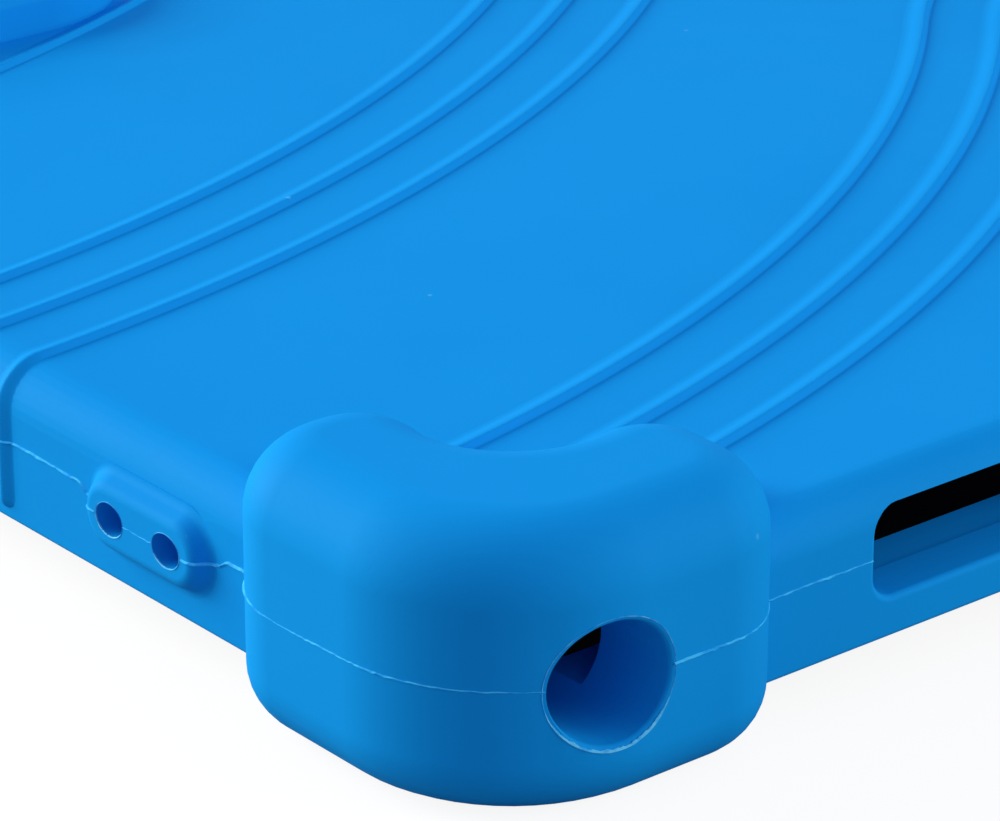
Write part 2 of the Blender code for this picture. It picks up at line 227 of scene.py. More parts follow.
work = bmesh.new()
floor_face = rounded_face(work, rectangle_corners(2 * WALL_X, 2 * WALL_Y, BODY_CORNER), RIM_Z, BODY_ARC_STEPS)
extrude_up(work, floor_face, BACK_Z - RIM_Z)
round_edges(work, edges_at(work, BACK_Z), BACK_EDGE_ROUND, BACK_EDGE_STEPS)
round_edges(work, edges_at(work, RIM_Z), RIM_EDGE_ROUND, RIM_EDGE_STEPS)
case = finish_mesh(work, "case_moulding")


# Corner bumpers. Thick boomerang-shaped cushions of the same rubber that wrap each corner, stand above
# the back and below the rim, and carry the case when it lies down. The mould rolls their top wider than
# their foot.
BUMPER_LEG_LONG_SIDE = 0.0276
BUMPER_LEG_SHORT_SIDE = 0.0264
BUMPER_REACH_LONG_SIDE = 0.0120
BUMPER_REACH_SHORT_SIDE = 0.0132
BUMPER_END_SPREAD = 0.0012
BUMPER_END_OUTER_ROUND = 0.0078
BUMPER_END_INNER_ROUND = 0.0065
BUMPER_HOLLOW_ROUND = 0.0053
BUMPER_TOP_ROUND = 0.0055
BUMPER_FOOT_ROUND = 0.0047
BUMPER_ARC_STEPS = 14
BUMPER_TOP_STEPS = 12
BUMPER_FOOT_STEPS = 10
FLASH_ROOM = 0.00015

outer_x = WALL_X + BUMPER_PROUD - FLASH_ROOM
outer_y = -WALL_Y - BUMPER_PROUD + FLASH_ROOM
end_x = WALL_X - BUMPER_LEG_LONG_SIDE
end_y = -WALL_Y + BUMPER_LEG_SHORT_SIDE
inner_x = WALL_X - BUMPER_REACH_SHORT_SIDE
inner_y = -WALL_Y + BUMPER_REACH_LONG_SIDE
work = bmesh.new()
foot_face = rounded_face(work, [
    (outer_x, outer_y, BODY_CORNER + BUMPER_PROUD - FLASH_ROOM),
    (outer_x, end_y, BUMPER_END_OUTER_ROUND),
    (inner_x - BUMPER_END_SPREAD, end_y, BUMPER_END_INNER_ROUND),
    (inner_x + BUMPER_END_SPREAD, inner_y - BUMPER_END_SPREAD, BUMPER_HOLLOW_ROUND),
    (end_x, inner_y + BUMPER_END_SPREAD, BUMPER_END_INNER_ROUND),
    (end_x, outer_y, BUMPER_END_OUTER_ROUND),
], case_low.z, BUMPER_ARC_STEPS)
extrude_up(work, foot_face, case_high.z - case_low.z)
round_edges(work, edges_at(work, case_high.z), BUMPER_TOP_ROUND, BUMPER_TOP_STEPS)
round_edges(work, edges_at(work, case_low.z), BUMPER_FOOT_ROUND, BUMPER_FOOT_STEPS)
for axis in ("X", "Y"):
    bmesh.ops.mirror(work, geom=work.verts[:] + work.edges[:] + work.faces[:], axis=axis, merge_dist=0)
finish_mesh(work, "corner_bumpers", raised_forms)


# Wave ribs. Low rounded beads, moulded on the back in groups of three, that sweep across the case as an S,
# fold over its back edge and run down the long walls. On the back each rises gently on one side and falls
# more steeply on the other, and on the walls it stands upright.
RIB_CREST = 0.00048
RIB_CREST_ASIDE = 0.00066
RIB_GENTLE_FLANK = 0.00182
RIB_STEEP_FLANK = 0.00052
RIB_GENTLE_EASE = 0.90
RIB_STEEP_EASE = 1.0
RIB_FLANK_STEPS = 11
RIB_SPACING = 0.00693
RIBS_IN_GROUP = 3
RIB_GROUPS = 4
RIB_GROUP_PITCH = 0.0490
RIB_FIRST_START = 0.0136
WAVE_RADIUS = 0.1870
WAVE_RADIUS_STEP = 0.0080
WAVE_CENTRE_OUTSIDE = 0.0167
WAVE_RETURN_RADIUS = 0.0900
RIB_SKIRT_RUN = 0.00012
RIB_SKIRT = 0.00003
RIB_UNDERSIDE = 0.0006
RIB_BACK_STEPS = 84
RIB_EDGE_STEPS = 10
RIB_WALL_STEPS = 5
RIB_FADE = ((0.0018, 0.0), (0.0014, 0.00008), (0.0011, 0.00030), (0.0009, 0.00065), (0.0007, 0.00110))


def rib_flank(run, ease):
    """Points of the bead's skin from beside its crest down to its foot and the sunk skirt past it."""
    shares = [step / RIB_FLANK_STEPS for step in range(1, RIB_FLANK_STEPS + 1)]
    skin = [(RIB_CREST_ASIDE + run * share, RIB_CREST * (0.5 + 0.5 * math.cos(math.pi * share ** ease)))
            for share in shares]
    return skin + [(skin[-1][0] + math.copysign(RIB_SKIRT_RUN, run), -RIB_SKIRT)]


def rib_profile():
    """Section of the bead's skin, from the skirt of its steep side over the crest to the gentle one's."""
    steep = rib_flank(RIB_STEEP_FLANK, RIB_STEEP_EASE)
    gentle = rib_flank(-RIB_GENTLE_FLANK, RIB_GENTLE_EASE)
    return steep[::-1] + [(RIB_CREST_ASIDE, RIB_CREST)] + gentle


def wave_x(y, group, rib):
    """X of one rib's centre line at a given Y: an arc, then a tighter arc that turns it straight."""
    start = WALL_X - RIB_FIRST_START - group * RIB_GROUP_PITCH
    radius = WAVE_RADIUS - group * WAVE_RADIUS_STEP
    centre_x = start - radius
    centre_y = -WALL_Y - WAVE_CENTRE_OUTSIDE
    lean = math.asin((WALL_Y - centre_y) / (radius + WAVE_RETURN_RADIUS))
    far_centre_x = centre_x + (radius + WAVE_RETURN_RADIUS) * math.cos(lean)
    offset = (rib - (RIBS_IN_GROUP - 1) / 2) * RIB_SPACING
    if y < centre_y + (radius + offset) * math.sin(lean):
        return centre_x + math.sqrt((radius + offset) ** 2 - (y - centre_y) ** 2)
    return far_centre_x - math.sqrt((WAVE_RETURN_RADIUS - offset) ** 2 - (y - WALL_Y) ** 2)


def rib_stations():
    """Y, Z and the skin's tilt along a rib, from one long wall's rim over the back to the other's."""
    edge_y = WALL_Y - BACK_EDGE_ROUND
    edge_z = BACK_Z - BACK_EDGE_ROUND
    half = [(WALL_Y - sunk, RIM_Z + height, math.pi / 2) for height, sunk in RIB_FADE[::-1]]
    wall_foot = RIM_Z + RIB_FADE[0][0]
    for step in range(1, RIB_WALL_STEPS):
        half.append((WALL_Y, wall_foot + (edge_z - wall_foot) * step / RIB_WALL_STEPS, math.pi / 2))
    for step in range(RIB_EDGE_STEPS + 1):
        angle = math.pi / 2 * step / RIB_EDGE_STEPS
        half.append((edge_y + BACK_EDGE_ROUND * math.cos(angle), edge_z + BACK_EDGE_ROUND * math.sin(angle),
                     math.pi / 2 - angle))
    stations = [(-y, z, -tilt) for y, z, tilt in half]
    for step in range(1, RIB_BACK_STEPS):
        stations.append((-edge_y + 2 * edge_y * step / RIB_BACK_STEPS, BACK_Z, 0.0))
    return stations + half[::-1]


def rib_frames(group, rib):
    """Placing matrices along a rib: X across it, Y along it and Z out of the skin."""
    stations = rib_stations()
    places = [Vector((wave_x(y, group, rib), y, z)) for y, z, _ in stations]
    frames = []
    for index, (place, (_, _, tilt)) in enumerate(zip(places, stations)):
        outward = Vector((0, math.sin(tilt), math.cos(tilt)))
        along = places[min(index + 1, len(places) - 1)] - places[max(index - 1, 0)]
        along = (along - outward * along.dot(outward)).normalized()
        turn = Matrix((along.cross(outward), along, outward)).transposed().to_4x4()
        upright = Matrix.Identity(4)
        upright[0][2] = -abs(math.sin(tilt)) * RIB_CREST_ASIDE / RIB_CREST
        frames.append(Matrix.Translation(place) @ turn @ upright)
    return frames


def make_rib(group, rib):
    """Sweep the bead's section along its wave by extruding it from station to station."""
    work = bmesh.new()
    points = rib_profile()
    points += [(points[-1][0], -RIB_UNDERSIDE), (points[0][0], -RIB_UNDERSIDE)]
    ring = [work.verts.new((x, 0, z)) for x, z in points]
    edges = [work.edges.new((ring[i - 1], ring[i])) for i in range(len(ring))]
    frames = rib_frames(group, rib)
    bmesh.ops.transform(work, matrix=frames[0], verts=ring)
    bmesh.ops.contextual_create(work, geom=edges)
    for before, after in zip(frames, frames[1:]):
        grown = bmesh.ops.extrude_edge_only(work, edges=edges)["geom"]
        edges = [item for item in grown if isinstance(item, bmesh.types.BMEdge)
                 and all(vert in grown for vert in item.verts) and len(item.link_faces) == 1]
        moved = [item for item in grown if isinstance(item, bmesh.types.BMVert)]
        bmesh.ops.transform(work, matrix=after @ before.inverted(), verts=moved)
    bmesh.ops.contextual_create(work, geom=edges)
    return finish_mesh(work, "wave_rib", raised_forms)


for group in range(RIB_GROUPS):
    for rib in range(RIBS_IN_GROUP):
        make_rib(group, rib)


# Lanyard island. A thickened patch on one long wall for two small lanyard holes, moulded with sloping
# sides that run softly into the wall.
ISLAND_FROM_CORNER = 0.0376
ISLAND_HEIGHT_ABOVE_RIM = 0.00575
ISLAND_LENGTH = 0.0136
ISLAND_HEIGHT = 0.0054
ISLAND_PROUD = 0.00135
ISLAND_END_ROUND = 0.0026
ISLAND_SLOPE = math.radians(58)
ISLAND_BASE_FILLET = 0.0009
ISLAND_TOP_ROUND = 0.0010
MOUND_STEPS = 5
MOUND_ARC_STEPS = 8
ROOT_DEPTH = 0.0010


def raised_island(length, height, corner, proud, slope, fillet, rounding):
    """Low mound on a flat skin at Z 0: a fillet up its foot, a sloping side and a rounded top."""
    rise = fillet * (1 - math.cos(slope)) + rounding * (1 - math.cos(slope))
    straight = (proud - rise) / math.sin(slope)
    reach = (fillet + rounding) * math.sin(slope) + straight * math.cos(slope)
    angles = [slope * i / MOUND_STEPS for i in range(MOUND_STEPS + 1)]
    steps = [(fillet * math.sin(angle), fillet * (1 - math.cos(angle))) for angle in angles]
    foot_x, foot_z = steps[-1]
    top_x = foot_x + straight * math.cos(slope)
    top_z = foot_z + straight * math.sin(slope)
    for i in range(MOUND_STEPS + 1):
        angle = slope * (1 - i / MOUND_STEPS)
        steps.append((top_x + rounding * (math.sin(slope) - math.sin(angle)),
                      top_z + rounding * (math.cos(angle) - math.cos(slope))))
    work = bmesh.new()
    corners = rectangle_corners(length + reach, height + reach, corner + reach / 2)
    base = rounded_face(work, corners, -ROOT_DEPTH, MOUND_ARC_STEPS)
    top = extrude_up(work, base, ROOT_DEPTH)
    for (x, z), (next_x, next_z) in zip(steps, steps[1:]):
        if next_x - x > LEVEL:
            bmesh.ops.inset_region(work, faces=[top], thickness=next_x - x, depth=next_z - z,
                                   use_boundary=True, use_even_offset=True)
    return work


def stand_on_wall(work, wall_normal, place):
    """Turn what was built upwards so that it stands out of a wall."""
    sideways = Vector((0, 0, 1)).cross(Vector(wall_normal))
    turn = Matrix((sideways, Vector((0, 0, 1)), Vector(wall_normal))).transposed().to_4x4()
    bmesh.ops.transform(work, matrix=Matrix.Translation(place) @ turn, verts=work.verts[:])


island_x = WALL_X - ISLAND_FROM_CORNER
island_z = RIM_Z + ISLAND_HEIGHT_ABOVE_RIM
work = raised_island(ISLAND_LENGTH, ISLAND_HEIGHT, ISLAND_END_ROUND, ISLAND_PROUD, ISLAND_SLOPE,
                     ISLAND_BASE_FILLET, ISLAND_TOP_ROUND)
stand_on_wall(work, (0, -1, 0), (island_x, -WALL_Y, island_z))
finish_mesh(work, "lanyard_island", raised_forms)


# Raised pad. A plain stadium-shaped block in the middle of the back beside one long wall, moulded with a
# steep side and a rounded top edge.
PAD_WIDTH = 0.0264
PAD_LENGTH = 0.0480
PAD_FROM_WALL = 0.0120
PAD_HEIGHT = 0.0040
PAD_END_ROUND = 0.0127
PAD_EDGE_ROUND = 0.0012
PAD_ARC_STEPS = 20
PAD_EDGE_STEPS = 6

work = bmesh.new()
pad_centre = (0.0, -WALL_Y + PAD_FROM_WALL + PAD_LENGTH / 2)
pad_face = rounded_face(work, rectangle_corners(PAD_WIDTH, PAD_LENGTH, PAD_END_ROUND, pad_centre),
                        BACK_Z - ROOT_DEPTH, PAD_ARC_STEPS)
extrude_up(work, pad_face, PAD_HEIGHT + ROOT_DEPTH)
round_edges(work, edges_at(work, BACK_Z + PAD_HEIGHT), PAD_EDGE_ROUND, PAD_EDGE_STEPS)
finish_mesh(work, "raised_pad", raised_forms)


# Button covers. Two low mounds on the long wall that are pressed to reach the buttons behind them.
VOLUME_COVER_LENGTH = 0.0240
POWER_COVER_LENGTH = 0.0110
COVER_HEIGHT = 0.0042
COVER_END_ROUND = 0.0020
COVER_PROUD = 0.0010
POWER_FROM_CORNER = 0.0420
COVER_GAP = 0.0090
COVER_SLOPE = math.radians(68)
COVER_BASE_FILLET = 0.0004
COVER_TOP_ROUND = 0.0006
LIP_THICKNESS = 0.00285
POCKET_DEPTH = 0.0075
POCKET_MID_Z = RIM_Z + LIP_THICKNESS + POCKET_DEPTH / 2

power_x = -WALL_X + POWER_FROM_CORNER
volume_x = power_x + (POWER_COVER_LENGTH + VOLUME_COVER_LENGTH) / 2 + COVER_GAP
for name, length, centre_x in (("power_cover", POWER_COVER_LENGTH, power_x),
                               ("volume_cover", VOLUME_COVER_LENGTH, volume_x)):
    work = raised_island(length, COVER_HEIGHT, COVER_END_ROUND, COVER_PROUD, COVER_SLOPE, COVER_BASE_FILLET,
                         COVER_TOP_ROUND)
    stand_on_wall(work, (0, -1, 0), (centre_x, -WALL_Y, POCKET_MID_Z))
    finish_mesh(work, name, raised_forms)


# Joined skin. All of it is one flow of rubber, so the raised forms are melted into the tray.
def combine(item, operation, collection):
    """Join an object with a collection's shapes, or cut them out, and keep the result as its mesh."""
    bpy.context.scene.collection.children.link(collection)
    boolean = item.modifiers.new(collection.name, "BOOLEAN")
    boolean.operation = operation
    boolean.operand_type = "COLLECTION"
    boolean.collection = collection
    boolean.solver = "EXACT"
    evaluated = item.evaluated_get(bpy.context.evaluated_depsgraph_get())
    joined = bpy.data.meshes.new_from_object(evaluated)
    item.modifiers.clear()
    item.data = joined
    for used in list(collection.objects):
        bpy.data.objects.remove(used, do_unlink=True)
    bpy.data.collections.remove(collection)


combine(case, "UNION", raised_forms)
skin = bmesh.new()
skin.from_mesh(case.data)
skin_tree = BVHTree.FromBMesh(skin)
CAST_FROM = 0.0030


def skin_along(place, direction):
    """Where a line through a place meets the outer skin from outside, and the skin's direction there."""
    hit, outward, _, _ = skin_tree.ray_cast(place - direction * CAST_FROM, direction, 2 * CAST_FROM)
    return (hit, outward) if hit else skin_tree.find_nearest(place)[:2]


# Pocket and screen window. The core of the mould leaves the room inside, open at the screen side through
# a window in the lip, whose edge leans out a little so that the core comes free.
POCKET_CORNER = 0.0075
SIDE_WALL = 0.0040
LIP_REACH = 0.0040
LIP_FLARE = 0.0010
POCKET_FILLET = 0.0008
LIP_ROUND = 0.0008
LIP_EDGE = ((0.15, 0.5), (0.35, 0.35), (0.5, 0.15))
PAST_EDGE = 0.01
POCKET_ARC_STEPS = 14
POCKET_FILLET_STEPS = 4
WINDOW_ARC_STEPS = 10
OVERLAP = 0.0010
POCKET_LOW_Z = RIM_Z + LIP_THICKNESS
POCKET_HIGH_Z = POCKET_LOW_Z + POCKET_DEPTH
pocket_length = 2 * (WALL_X - SIDE_WALL)
pocket_width = 2 * (WALL_Y - SIDE_WALL)

work = bmesh.new()
pocket_corners = rectangle_corners(pocket_length, pocket_width, POCKET_CORNER)
extrude_up(work, rounded_face(work, pocket_corners, POCKET_LOW_Z, POCKET_ARC_STEPS), POCKET_DEPTH)
round_edges(work, edges_at(work, POCKET_HIGH_Z), POCKET_FILLET, POCKET_FILLET_STEPS)
finish_mesh(work, "pocket", openings)

work = bmesh.new()
window_corners = rectangle_corners(pocket_length - 2 * LIP_REACH, pocket_width - 2 * LIP_REACH,
                                   POCKET_CORNER - LIP_REACH)
window_face = rounded_face(work, window_corners, POCKET_LOW_Z + OVERLAP, WINDOW_ARC_STEPS)
window_mouth = extrude_up(work, window_face, -OVERLAP)
leaning = LIP_FLARE / LIP_THICKNESS
window_steps = [(leaning * (LIP_THICKNESS - LIP_ROUND), LIP_THICKNESS - LIP_ROUND)]
window_steps += [(outset * LIP_ROUND, drop * LIP_ROUND) for outset, drop in LIP_EDGE]
for outset, drop in window_steps + [(PAST_EDGE * LIP_ROUND, OVERLAP)]:
    bmesh.ops.inset_region(work, faces=[window_mouth], thickness=-outset, depth=drop,
                           use_boundary=True, use_even_offset=True)
finish_mesh(work, "screen_window", openings)


# Wall openings. Slots for the sound in both short walls and one for the charging plug, each as high as the
# pocket and with a soft edge outside, formed by inserts that slide out of the mould.
SLOT_FROM_CORNER = 0.0351
SLOT_LENGTH = 0.0300
SLOT_LEDGE = 0.00005
SLOT_CORNER = 0.0020
PORT_LENGTH = 0.0130
PORT_CORNER = 0.0030
SLOT_EDGE_ROUND = 0.0005
SLOT_ARC_STEPS = 8
SLOT_SILL = 0.0003
SOFT_EDGE = ((0.08, 0.38), (0.21, 0.33), (0.33, 0.21), (0.38, 0.08), (0.03, 1.0))


def open_mouth(work, mouth, rounding):
    """Widen the end of a cutter along a rounding, and lengthen it past the skin."""
    for outset, rise in SOFT_EDGE:
        bmesh.ops.inset_region(work, faces=[mouth], thickness=-outset * rounding, depth=rise * rounding,
                               use_boundary=True, use_even_offset=True)


def cut_wall_slot(name, length, corner, side, centre_y):
    """Slot through a short wall that opens out a little at the wall's face."""
    work = bmesh.new()
    height = POCKET_DEPTH - 2 * SLOT_LEDGE - SLOT_SILL
    corners = rectangle_corners(length, height, corner, (0.0, SLOT_SILL / 2))
    inner = rounded_face(work, corners, -SIDE_WALL - OVERLAP, SLOT_ARC_STEPS)
    open_mouth(work, extrude_up(work, inner, SIDE_WALL + OVERLAP - SLOT_EDGE_ROUND), SLOT_EDGE_ROUND)
    stand_on_wall(work, (side, 0, 0), (side * WALL_X, centre_y, POCKET_MID_Z))
    finish_mesh(work, name, openings)


slot_y = WALL_Y - SLOT_FROM_CORNER - SLOT_LENGTH / 2
for side in (-1, 1):
    cut_wall_slot("speaker_slot", SLOT_LENGTH, SLOT_CORNER, side, -slot_y)
    cut_wall_slot("speaker_slot", SLOT_LENGTH, SLOT_CORNER, side, slot_y)
cut_wall_slot("charge_port", PORT_LENGTH, PORT_CORNER, 1, 0.0)


# Round holes. One for the headphone plug through a bumper, one for the camera in the back, and two for a
# lanyard through the island, all left by pins in the mould.
JACK_HOLE_DIAMETER = 0.0090
JACK_FROM_WALL = 0.0087
JACK_BELOW_MIDDLE = 0.0002
JACK_MOUTH_ROUND = 0.00045
CAMERA_HOLE_DIAMETER = 0.0160
CAMERA_FROM_SHORT_WALL = 0.0290
CAMERA_FROM_LONG_WALL = 0.0270
CAMERA_EDGE_ROUND = 0.0005
BACK_WALL = 0.00195
LANYARD_HOLE_LENGTH = 0.0033
LANYARD_HOLE_HEIGHT = 0.0026
LANYARD_HOLE_PITCH = 0.0069
HOLE_SIDES = 72
MOUTH_STEPS = 7
SHARP_FROM = math.radians(32)


def cut_round_hole(name, diameter, start, end, across=1.0):
    """Pin of a given diameter from one point to another, wider across where the hole is oval."""
    start, end = Vector(start), Vector(end)
    work = bmesh.new()
    bmesh.ops.create_cone(work, cap_ends=True, segments=HOLE_SIDES, radius1=diameter / 2,
                          radius2=diameter / 2, depth=(end - start).length)
    bmesh.ops.scale(work, vec=(across, 1, 1), verts=work.verts[:])
    turn = Vector((0, 0, 1)).rotation_difference(end - start).to_matrix().to_4x4()
    bmesh.ops.transform(work, matrix=Matrix.Translation((start + end) / 2) @ turn, verts=work.verts[:])
    finish_mesh(work, name, openings)


def cut_soft_mouth(name, centre, inward, radius, rounding):
    """Flare where a round hole meets the skin: a circle laid on the skin, drawn out along a rounding."""
    work = bmesh.new()
    bmesh.ops.create_circle(work, cap_ends=False, segments=HOLE_SIDES, radius=radius)
    turn = Vector((0, 0, 1)).rotation_difference(inward).to_matrix().to_4x4()
    bmesh.ops.transform(work, matrix=Matrix.Translation(centre) @ turn, verts=work.verts[:])
    for vert in work.verts:
        vert.co = skin_along(vert.co, inward)[0]
    quarter = [math.pi / 2 * step / MOUTH_STEPS for step in range(1, MOUTH_STEPS + 1)]
    steps = [(-0.1 * OVERLAP, -OVERLAP)]
    steps += [(rounding * (1 - math.cos(a)), rounding * (math.sin(a) - 1)) for a in quarter]
    steps.append((rounding + 0.1 * OVERLAP, OVERLAP))
    edges = work.edges[:]
    verts = work.verts[:]
    widest, depth = 0.0, 0.0
    for index, (outset, height) in enumerate(steps):
        if index:
            grown = bmesh.ops.extrude_edge_only(work, edges=edges)["geom"]
            verts = {item for item in grown if isinstance(item, bmesh.types.BMVert)}
            edges = [item for item in grown if isinstance(item, bmesh.types.BMEdge)
                     and item.verts[0] in verts and item.verts[1] in verts]
        for vert in verts:
            away = vert.co - centre
            away -= inward * away.dot(inward)
            vert.co += away.normalized() * (outset - widest) - inward * (height - depth)
        widest, depth = outset, height
    bmesh.ops.holes_fill(work, edges=[edge for edge in work.edges if edge.is_boundary])
    finish_mesh(work, name, openings)


jack_y = -WALL_Y + JACK_FROM_WALL
jack_z = POCKET_MID_Z - JACK_BELOW_MIDDLE
jack_mouth = Vector((outer_x, jack_y, jack_z))
cut_round_hole("headphone_hole", JACK_HOLE_DIAMETER,
               (WALL_X - SIDE_WALL - POCKET_CORNER / 2, jack_y, jack_z), (outer_x + OVERLAP, jack_y, jack_z))
cut_soft_mouth("headphone_hole_mouth", jack_mouth, Vector((-1, 0, 0)), JACK_HOLE_DIAMETER / 2,
               JACK_MOUTH_ROUND)
lanyard_xs = [island_x + side * LANYARD_HOLE_PITCH / 2 for side in (-1, 1)]
lanyard_oval = LANYARD_HOLE_LENGTH / LANYARD_HOLE_HEIGHT
for lanyard_x in lanyard_xs:
    cut_round_hole("lanyard_hole", LANYARD_HOLE_HEIGHT, (lanyard_x, -WALL_Y + SIDE_WALL + OVERLAP, island_z),
                   (lanyard_x, -WALL_Y - ISLAND_PROUD - OVERLAP, island_z), lanyard_oval)

camera_x = -WALL_X + CAMERA_FROM_SHORT_WALL
camera_y = -WALL_Y + CAMERA_FROM_LONG_WALL
work = bmesh.new()
bmesh.ops.create_circle(work, cap_ends=True, segments=HOLE_SIDES, radius=CAMERA_HOLE_DIAMETER / 2)
bmesh.ops.translate(work, verts=work.verts[:], vec=(camera_x, camera_y, BACK_Z - BACK_WALL - OVERLAP))
camera_mouth = extrude_up(work, next(iter(work.faces)), BACK_WALL + OVERLAP - CAMERA_EDGE_ROUND)
open_mouth(work, camera_mouth, CAMERA_EDGE_ROUND)
finish_mesh(work, "camera_hole", openings)

combine(case, "DIFFERENCE", openings)
case.data.materials.clear()
case.data.materials.append(blue_silicone)
case.data.shade_smooth()
case.data.set_sharp_from_angle(angle=SHARP_FROM)
weighted = case.modifiers.new("even_shading", "WEIGHTED_NORMAL")
weighted.keep_sharp = True
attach(case, "root")
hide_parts("tablet_case")
moulding = bmesh.new()
moulding.from_mesh(case.data)
moulding_tree = BVHTree.FromBMesh(moulding)


# Parting flash. The hair-thin ragged fin that the rubber leaves where the halves of the mould meet. It
# runs round the outer walls and bumpers, dips to the lanyard holes and breaks at every opening.
# The fin's rubber is paler than the body: partly dust and whitish wear, partly a painted glow of light
# through the thin fin.
SILICONE_PALE = (0.0600, 0.5400, 0.9800, 1.0)
SILICONE_PALE_DEEP = (0.0100, 0.3250, 0.8500, 1.0)
SILICONE_TORN = (0.4500, 0.7800, 1.0000, 1.0)
PARTING_ABOVE_RIM = 0.0065
PARTING_WANDER = 0.00010
PARTING_LIFT = 0.0002
PARTING_LIFT_REACH = 0.016
FLASH_STEP = 0.0004
FLASH_WIDTH = 0.00032
FLASH_PROUD = 0.00012
FLASH_SUNK = 0.00008
DIP_REACH = 0.0092
DIP_RUN = 0.0014
OPEN_GAP = 0.0001
FULL_FROM_ISLAND = 0.0090
FULL_REACH = 0.0060
FIN_LEAN = 0.30
FIN_SHIFT = Vector((0, 0, 0.0007))
WANDER_FINENESS = 180
FULL_FINENESS = (90, 420)
LEAN_FINENESS = 2300
RISE_FINENESS = 1300
FIN_CLOUD_SCALE = 900.0
FIN_SPECK_SCALE = 1500.0

fin_dust_and_glow_silicone = silicone_material("pale_fin_dust_and_painted_glow", SILICONE_PALE, SILICONE_PALE_DEEP, SILICONE_TORN,
                                  FIN_CLOUD_SCALE, FIN_SPECK_SCALE)


def raggedness(place, fineness):
    """Number from -1 to 1 that wanders along the object in the same way on each run."""
    return noise.noise(place * fineness)


def parting_height(place):
    """Height of the line where the mould's halves meet, at a place on the outer skin."""
    height = PARTING_ABOVE_RIM + PARTING_WANDER * raggedness(place, WANDER_FINENESS)
    from_corner = Vector((WALL_X - abs(place.x), WALL_Y - abs(place.y))).length
    height += PARTING_LIFT * max(0.0, 1 - from_corner / PARTING_LIFT_REACH)
    away = abs(place.x - island_x)
    if place.y < -WALL_Y + ROOT_DEPTH and away < DIP_REACH:
        ease = min(1.0, (DIP_REACH - away) / DIP_RUN)
        height += (ISLAND_HEIGHT_ABOVE_RIM - height) * ease * ease * (3 - 2 * ease)
    return RIM_Z + height


def grow_flash(work, name, material, across_at, section):
    """Turn the lines of a bmesh into fins, from a section of offsets across the line and outwards."""
    on_skin = work.verts.layers.float_vector.new("on_skin")
    for vert in work.verts:
        vert[on_skin] = vert.co
    edges = work.edges[:]
    for index, offsets_at in enumerate(section + section[:1]):
        verts = {vert for edge in edges for vert in edge.verts}
        if index:
            grown = bmesh.ops.extrude_edge_only(work, edges=edges)["geom"]
            verts = {item for item in grown if isinstance(item, bmesh.types.BMVert)}
            edges = [item for item in grown if isinstance(item, bmesh.types.BMEdge)
                     and item.verts[0] in verts and item.verts[1] in verts]
        for vert in verts:
            place = Vector(vert[on_skin])
            outward = skin_tree.find_nearest(place)[1]
            sideways, height = offsets_at(place)
            vert.co = place + across_at(place, outward) * sideways + outward * min(height, FLASH_ROOM)
    bmesh.ops.remove_doubles(work, verts=work.verts[:], dist=LEVEL)
    open_edges = [edge for edge in work.edges if edge.is_boundary]
    bmesh.ops.holes_fill(work, edges=open_edges, sides=4)
    flash = finish_mesh(work, name)
    flash.data.materials.append(material)
    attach(flash, "root")


def fullness(place):
    """How full the fin is at a place: faint here, torn there, fullest between the island and the bumper."""
    near = max(0.0, 1 - abs(place.x - island_x - FULL_FROM_ISLAND) / FULL_REACH) if place.y < 0 else 0.0
    broad, fine = (raggedness(place, fineness) for fineness in FULL_FINENESS)
    return max(0.12, 0.75 + 0.9 * broad + 0.4 * fine + 0.8 * near)


def fin_crest(place):
    """Crest of the parting fin, which leans and stands unevenly."""
    aside = FIN_LEAN * FLASH_WIDTH * raggedness(place, LEAN_FINENESS)
    return aside, FLASH_PROUD * fullness(place) * (1 + 0.5 * raggedness(place, RISE_FINENESS))


def fin_foot(side):
    """Foot of the parting fin on one side, sunk in the skin."""
    def foot(place):
        return side * FLASH_WIDTH * (0.22 + 0.32 * fullness(place + FIN_SHIFT * side)), -FLASH_SUNK
    return foot


work = skin.copy()
cut = bmesh.ops.bisect_plane(work, geom=work.verts[:] + work.edges[:] + work.faces[:],
                             plane_co=(0, 0, RIM_Z + PARTING_ABOVE_RIM), plane_no=(0, 0, 1))
line = {item for item in cut["geom_cut"] if isinstance(item, bmesh.types.BMEdge)}
bmesh.ops.delete(work, geom=[edge for edge in work.edges if edge not in line], context="EDGES")
bmesh.ops.delete(work, geom=[vert for vert in work.verts if not vert.link_edges], context="VERTS")
pieces = {edge: math.ceil(edge.calc_length() / FLASH_STEP) for edge in work.edges}
for count in sorted(set(pieces.values()) - {1}):
    even = [edge for edge, wanted in pieces.items() if wanted == count]
    bmesh.ops.subdivide_edges(work, edges=even, cuts=count - 1)
for vert in work.verts:
    outward = skin_tree.find_nearest(vert.co)[1]
    inward = -Vector((outward.x, outward.y, 0)).normalized()
    vert.co.z = parting_height(vert.co)
    vert.co = skin_along(vert.co, inward)[0]
gaps = [vert for vert in work.verts if moulding_tree.find_nearest(vert.co)[3] > OPEN_GAP]
bmesh.ops.delete(work, geom=gaps, context="VERTS")
bmesh.ops.delete(work, geom=[vert for vert in work.verts if not vert.link_edges], context="VERTS")
grow_flash(work, "parting_flash", fin_dust_and_glow_silicone, lambda place, outward: Vector((0, 0, 1)),
           [fin_foot(1), fin_crest, fin_foot(-1)])


